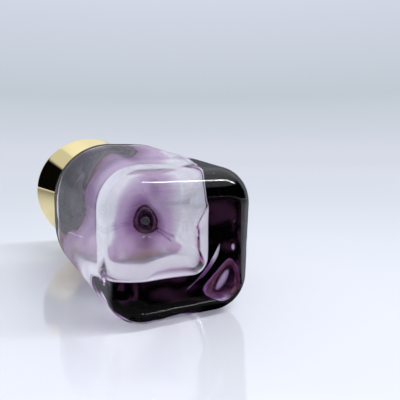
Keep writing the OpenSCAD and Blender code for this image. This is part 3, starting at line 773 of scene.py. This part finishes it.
class BOTTLE_OT_metalwork(bpy.types.Operator):
    """Builds the ferrule, and the collar's sleeve and insert"""
    bl_idname = "bottle.metalwork"
    bl_label = "Ferrule and collar"

    def execute(self, context):
        sc = context.scene
        g, p, t, c, h = sc.bottle_glass, sc.bottle_pump, sc.bottle_top, sc.bottle_gaps, Heights(sc)
        lip_r = g.neck_d / 2 + c.seat
        lip_z = h.bead_low - c.seat
        ft = t.ferrule_t
        hole = p.pump_d / 2 + c.seat
        outline = soften([
            (lip_r, lip_z - ft), (h.ferrule_r, lip_z - ft), (h.ferrule_r, h.ferrule_top), (hole, h.ferrule_top),
            (hole, h.flange_top), (h.ferrule_in, h.flange_top), (h.ferrule_in, lip_z), (lip_r, lip_z),
        ], np.array([0.1, 0.4, 0.4, 0.1, 0.1, 0.05, 0.05, 0.1]) * MM, 6)
        settle(lathe("ferrule", outline, finish("alloy")), "bottle", ["crimp_ferrule"])
        r, ct = t.collar_d / 2, t.collar_t
        outline = soften([
            (r - ct, h.collar_low), (r, h.collar_low), (r, h.collar_top), (h.collar_mouth, h.collar_top),
            (h.collar_mouth, h.collar_top - ct), (r - ct, h.collar_top - ct),
        ], np.array([0.1, 0.15, 0.6, 0.2, 0.1, 0.2]) * MM, 7)
        settle(lathe("collar_sleeve", outline, finish("gold"), 192), "bottle", ["collar"])
        r_in, r_out = h.ferrule_r + c.seat, r - ct - c.seat
        top = h.collar_top - ct - c.seat
        outline = soften([
            (r_in, h.collar_low), (r_out, h.collar_low), (r_out, top - 0.6 * MM), (r_out - 0.6 * MM, top),
            (h.collar_mouth, top), (h.collar_mouth, h.ferrule_top + c.seat), (r_in, h.ferrule_top + c.seat),
        ], 0.1 * MM, 4)
        settle(lathe("collar_core", outline, finish("plastic")), "bottle", ["collar_insert"])
        return {"FINISHED"}


class BOTTLE_OT_button(bpy.types.Operator):
    """Gives the button, its nozzle and its metal shell their finishes"""
    bl_idname = "bottle.button"
    bl_label = "Spray button"

    def execute(self, context):
        dress("actuator", "plastic")
        dress("nozzle_insert", "plastic")
        dress("button_shell", "gold")
        return {"FINISHED"}


class BOTTLE_OT_cap(bpy.types.Operator):
    """Builds the flared cap's thin shell, and gives the ribbed insert that grips the collar its finish"""
    bl_idname = "bottle.cap"
    bl_label = "Cap"

    def execute(self, context):
        sc = context.scene
        t, c, h = sc.bottle_top, sc.bottle_gaps, Heights(sc)

        def outline(wall):
            """Straight flank, then an arc round the rim, then a shallow parabola over the crown."""
            r = t.cap_round_r - wall
            a = np.linspace(-h.lean, h.crown_a, 22)
            z = np.linspace(h.cap_low, h.rim - r * math.sin(h.lean), 24)[:-1]
            flank = np.stack([h.flank(t, z, wall), z], -1)
            arc = np.stack([h.round_x + r * np.cos(a), h.rim + r * np.sin(a)], -1)
            x = np.linspace(arc[-1, 0], 0, 26)[1:]
            crown = np.stack([x, arc[-1, 1] + t.cap_dome_rise * (1 - (x / arc[-1, 0]) ** 2)], -1)
            return np.vstack([flank, arc, crown])

        outer, inner = outline(0.0), outline(t.cap_wall)
        lip = soften(np.vstack([outer[3], outer[0], inner[0], inner[3]]), 0.25 * MM, 5, closed=False)
        chain = np.vstack([outer[::-1][:-3], lip[1:-1], inner[3:]])
        shell = lathe("cap_shell_gold", chain, finish("gold"), 256, open_ends=True)
        settle(shell, "cap", ["cap_shell"])
        dress("cap_insert", "plastic")
        return {"FINISHED"}


# ---------------------------------------------------------------- stage

VIEW_YAW, VIEW_PITCH, VIEW_ROLL = math.radians(28.202), math.radians(6.446), math.radians(-0.259)
VIEW_PLACE = (-0.03973, -0.10513, 0.03779)
VIEW_FOCAL = 412.5 / 400 * 36
# The floor lies a hair below the wavy glass, so that no glass dips into it
FLOOR_GAP = 0.08 * MM
# Noise values between which a painted fold in the floor's painted dark reflection goes from black to its tint
PAINTED_FOLDS = (0.5, 0.66)
# Black of the dark reflection painted into the floor for gloss and glass
PAINTED_REFLECTION_BLACK = (0.004, 0.004, 0.005, 1)
# Degrees off the view's direction between which the backdrop ends, for gloss and glass
AHEAD = (50, 62)
# Heights in degrees over which the ceiling brightens in two steps, and the share of each
CEILING = ((29, 33, 0.72), (45, 49, 0.26))
# Heights, as sines, at which the backdrop has its middle and its high colour
BACKDROP = (0.13, 0.34)
# Distances between which the floor takes the backdrop's brightness
FAR = (0.2, 1.8)
EVEN_LIGHT = (0.985, 0.995, 1.02)


def view_axes():
    """Right, up, forward and level forward of the camera from its yaw, pitch and roll."""
    ahead = np.array([math.sin(VIEW_YAW), math.cos(VIEW_YAW), 0])
    right = np.array([math.cos(VIEW_YAW), -math.sin(VIEW_YAW), 0])
    forward = ahead * math.cos(VIEW_PITCH) - np.array([0, 0, math.sin(VIEW_PITCH)])
    up = np.cross(right, forward)
    c, s = math.cos(VIEW_ROLL), math.sin(VIEW_ROLL)
    return right * c + up * s, up * c - right * s, forward, ahead


def stand(scene, name, data, axes, spot):
    """Puts a camera or a lamp at a spot, with its own x, y and z along the three axes."""
    made = bpy.data.objects.new(name, data)
    m = Matrix([list(row) for row in zip(*axes)]).to_4x4()
    m.translation = spot
    made.matrix_world = m
    scene.collection.objects.link(made)
    return made


class BOTTLE_OT_stage(bpy.types.Operator):
    """Builds the floor, the light and the camera"""
    bl_idname = "bottle.stage"
    bl_label = "Stage"

    def execute(self, context):
        s = context.scene.bottle_stage
        scene = context.scene
        scene.view_settings.view_transform = "Standard"
        # light is thrown round many times inside the heavy base
        scene.cycles.max_bounces = 32
        scene.cycles.glossy_bounces = 24
        scene.cycles.transmission_bounces = 24
        self.camera(scene)
        self.world(scene, s)
        self.floor(scene, s)
        self.lamp(scene, s)
        return {"FINISHED"}

    def camera(self, scene):
        right, up, forward, ahead = view_axes()
        data = bpy.data.cameras.new("view")
        data.lens = VIEW_FOCAL
        data.sensor_width = 36
        data.clip_start = 0.005
        data.clip_end = 50
        scene.camera = stand(scene, "view", data, (right, up, -forward), VIEW_PLACE)

    def world(self, scene, s):
        """Even light for diffuse surfaces, a soft backdrop for the view, and for gloss and glass a studio:
        the backdrop ahead, a bright ceiling, and a dark room on the other sides."""
        scene.world = bpy.data.worlds.new("studio")
        scene.world.use_nodes = True
        t = Nodes(scene.world.node_tree)
        way = t.add("TexCoord").outputs["Generated"]
        height = t.add("SeparateXYZ", {0: way}).outputs["Z"]
        backdrop = t.ramp(height, ((0.0, s.sky_low), (BACKDROP[0], s.sky_mid), (BACKDROP[1], s.sky_high)))
        level = t.vector("NORMALIZE", t.vector("MULTIPLY", way, (1, 1, 0))[0])[0]
        facing = t.vector("DOT_PRODUCT", level, tuple(view_axes()[3]))["Value"]
        toward = t.step(facing, *(math.cos(math.radians(d)) for d in reversed(AHEAD)))
        over = t.math("ADD", *(t.step(height, math.sin(math.radians(low)), math.sin(math.radians(high)), share)
                               for low, high, share in CEILING))
        lit = t.mix(over, backdrop, (*s.ceiling, 1))
        studio = t.mix(t.math("MAXIMUM", toward, over), (s.room, s.room, s.room, 1), lit)
        path = t.add("LightPath").outputs
        shiny = t.math("MAXIMUM", path["Is Glossy Ray"], path["Is Transmission Ray"])
        even = t.mix(shiny, (*(s.fill * k for k in EVEN_LIGHT), 1), studio)
        seen = t.mix(path["Is Camera Ray"], even, backdrop)
        t.add("OutputWorld", {"Surface": t.add("Background", {"Color": seen}).outputs[0]})

    def floor(self, scene, s):
        """A wide disc, in rings of points at growing radii, that fades towards the horizon's colour."""
        n, rings = 128, 40
        r = np.geomspace(0.05, 40, rings)[:, None]
        a = TAU * np.arange(n) / n
        rows = np.stack([r * np.cos(a), r * np.sin(a), np.full((rings, n), -FLOOR_GAP)], -1)
        verts = np.vstack([rows.reshape(-1, 3), [[0, 0, -FLOOR_GAP]]])
        i = np.arange(rings - 1)[:, None]
        j = np.arange(n)[None, :]
        k = (j + 1) % n
        quads = np.stack([i * n + j, (i + 1) * n + j, (i + 1) * n + k, i * n + k], -1).reshape(-1, 4)
        tris = np.stack([np.full(n, len(verts) - 1), j[0], k[0]], -1)
        mesh = bpy.data.meshes.new("floor")
        mesh.from_pydata(verts.tolist(), [], quads.tolist() + tris.tolist())
        mesh.update()
        mesh.materials.append(self.floor_material(s))
        floor = bpy.data.objects.new("floor", mesh)
        scene.collection.objects.link(floor)

    def floor_material(self, s):
        m, t = new_material("studio_floor")
        where = t.where()
        place_on = t.add("SeparateXYZ", {0: where}).outputs
        path = t.add("LightPath").outputs
        # painted reflection: in gloss and through the glass the floor turns into a painted dark room with plum folds
        # behind the view, which draws back to the bottle's right; the camera sees the plain floor
        shiny = t.math("MAXIMUM", path["Is Glossy Ray"], path["Is Transmission Ray"])
        aside = t.math("MULTIPLY_ADD", place_on["X"], s.painted_dark_turn, -s.painted_dark_turn * s.painted_dark_side, clamp=True)
        dark = t.step(t.math("ADD", place_on["Y"], aside), s.painted_dark_from, s.painted_dark_from - 10 * MM)
        fold = t.step(t.noise(s.painted_fold_scale, 1.0, 0.5, 1.0), *PAINTED_FOLDS)
        # painted reflection: black floor with plum folds, only where gloss and glass look
        painted_reflection = t.mix(fold, PAINTED_REFLECTION_BLACK, (*s.painted_fold_tint, 1))
        base = t.mix(t.math("MULTIPLY", shiny, dark), (*s.floor_near, 1), painted_reflection)
        table = t.add("BsdfPrincipled", {"Base Color": base, "Roughness": 0.07, "IOR": s.floor_ior}).outputs[0]
        # towards the horizon the floor takes the backdrop's own brightness
        glow = t.add("Emission", {"Color": (*s.sky_low, 1)}).outputs[0]
        wide = t.blend(t.step(t.vector("LENGTH", where)["Value"], *FAR), table, glow)
        # painted pool of light: seen through the glass, the floor close under the base glows with emission, a painted
        # glow that stands in for the light the glass gathers there
        scaled = t.vector("MULTIPLY", where, (1 / s.painted_glow_wide, 1 / s.painted_glow_long, 0))[0]
        near = t.step(t.vector("LENGTH", scaled)["Value"], 1.0, 0.7)
        share = t.math("MULTIPLY", t.math("MULTIPLY", near, path["Is Transmission Ray"]), s.spot)
        painted_glow = t.add("Emission", {"Color": (*s.floor_near, 1)}).outputs[0]
        t.surface(t.blend(share, wide, painted_glow))
        return m

    def lamp(self, scene, s):
        """A long slim strip overhead, across the view and to its right. It draws the bright line along the
        base's edge."""
        data = bpy.data.lights.new("strip", "AREA")
        data.shape = "RECTANGLE"
        data.size, data.size_y = s.lamp_long, s.lamp_wide
        data.energy = s.lamp * math.pi * data.size * data.size_y
        away = Vector((s.lamp_x, s.lamp_y, 1.0)) * s.lamp_h
        back = away.normalized()
        along = Vector((1.0, s.lamp_slant, 0.0))
        along = (along - along.dot(back) * back).normalized()
        stand(scene, "strip", data, (along, back.cross(along), back), away)


STEPS = ("glass", "pump", "spring", "metalwork", "button", "cap", "stage")


class BOTTLE_PT_panel(bpy.types.Panel):
    """Lists the sizes and the steps that build the bottle"""
    bl_label = "Glass bottle"
    bl_idname = "BOTTLE_PT_panel"
    bl_space_type = "VIEW_3D"
    bl_region_type = "UI"
    bl_category = "Bottle"

    def draw(self, context):
        for group in GROUPS:
            box = self.layout.box()
            box.label(text=group.replace("_", " ").capitalize())
            settings = getattr(context.scene, group)
            for name in settings.__annotations__:
                box.prop(settings, name)
        for step in STEPS:
            self.layout.operator("bottle." + step)


CLASSES = (*GROUPS.values(), BOTTLE_OT_glass, BOTTLE_OT_pump, BOTTLE_OT_spring, BOTTLE_OT_metalwork,
           BOTTLE_OT_button, BOTTLE_OT_cap, BOTTLE_OT_stage, BOTTLE_PT_panel)


def register():
    for c in CLASSES:
        bpy.utils.register_class(c)
    for name, group in GROUPS.items():
        setattr(bpy.types.Scene, name, PointerProperty(type=group))


def unregister():
    for name in GROUPS:
        delattr(bpy.types.Scene, name)
    for c in reversed(CLASSES):
        bpy.utils.unregister_class(c)


def main():
    """Builds every piece in order."""
    register()
    for step in STEPS:
        getattr(bpy.ops.bottle, step)()


if __name__ == "__main__":
    main()
